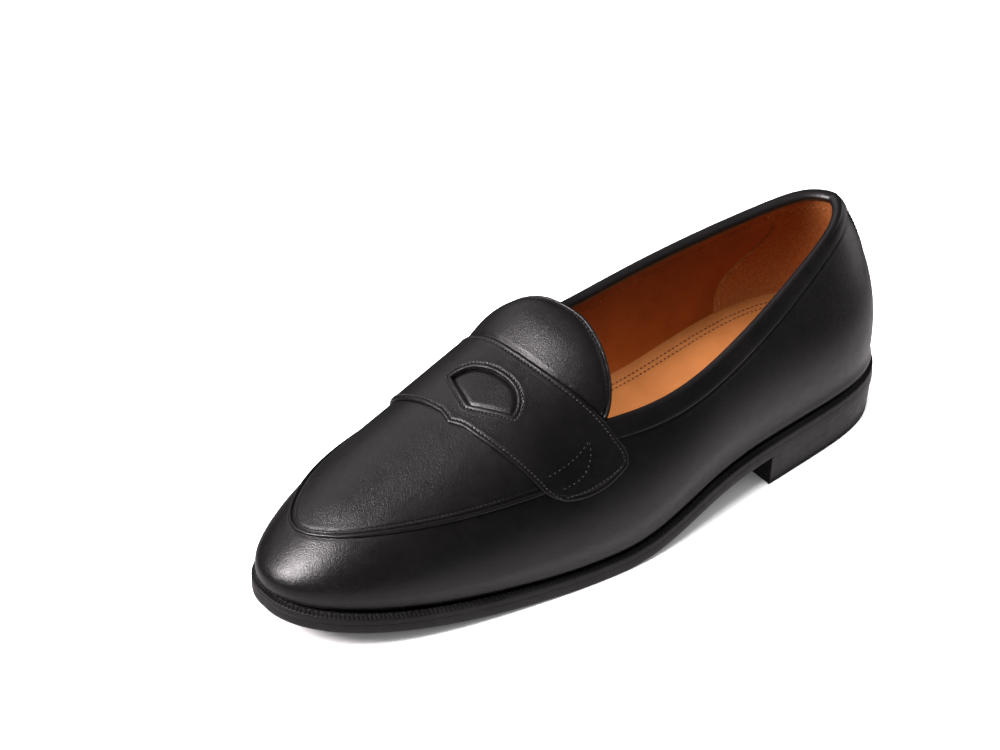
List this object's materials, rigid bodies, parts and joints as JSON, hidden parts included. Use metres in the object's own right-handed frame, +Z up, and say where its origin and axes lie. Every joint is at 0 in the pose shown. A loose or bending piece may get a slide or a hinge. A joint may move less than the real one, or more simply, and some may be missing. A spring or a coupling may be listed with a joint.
{
  "type": "penny loafer",
  "caption": "Men's left penny loafer: black leather upper with apron, slotted saddle strap, rolled collar, tan lining, welted sole and low stacked heel.",
  "frame": {"origin": "centre of the bounding box on the floor, under the sole", "axes": "+X from heel to toe, +Y to the wearer's left (the outer side of this left shoe), +Z up"},
  "size_m": [0.2978, 0.0964, 0.0985],
  "materials": {
    "black_calf": "polished",
    "grained_calf": "fine grain, polished",
    "lining_leather": "semi-matt",
    "grip_suede": "napped",
    "sock_leather": "semi-matt",
    "sole_leather": "inked edge, satin",
    "welt_leather": "inked, satin",
    "heel_leather": "inked, satin",
    "lift_rubber": "matt",
    "black_thread": "waxed",
    "welt_thread": "waxed",
    "tan_thread": "waxed",
    "nail_brass": "satin",
    "cork": "raw",
    "leatherboard": "raw",
    "spring_steel": "brushed",
    "stiffener": "matt",
    "drill_cloth": "plain weave",
    "tongue_foam": "matt"
  },
  "bodies": {
    "root": {"heel_top_lift": "lift_rubber", "heel_lift_lower": "heel_leather", "heel_lift_upper": "heel_leather", "heel_nails": "nail_brass", "outsole": "sole_leather", "welt": "welt_leather", "welt_stitches": "welt_thread", "cork_filler": "cork", "heel_seat_filler": "leatherboard", "steel_shank": "spring_steel", "insole_board": "leatherboard", "sock_liner": "sock_leather", "heel_pad": "tongue_foam", "sock_stitches": "tan_thread", "upper_skirt": "black_calf", "back_strip": "black_calf", "back_strip_stitches": "black_thread", "apron": "grained_calf", "moccasin_bead": "black_calf", "apron_stitches": "black_thread", "tongue": "grained_calf", "tongue_padding": "tongue_foam", "tongue_lining": "lining_leather", "tongue_stitches": "black_thread", "saddle_strap": "grained_calf", "strap_edge_stitches": "black_thread", "strap_slot_stitches": "black_thread", "strap_end_stitches": "black_thread", "collar_binding": "black_calf", "collar_stitches": "black_thread", "heel_counter": "stiffener", "interlining": "drill_cloth", "toe_puff": "stiffener", "vamp_lining": "lining_leather", "quarter_lining_outer": "lining_leather", "quarter_lining_inner": "lining_leather", "heel_grip": "grip_suede", "lining_stitches": "tan_thread", "heel_grip_stitches": "tan_thread"}
  },
  "joints": []
}
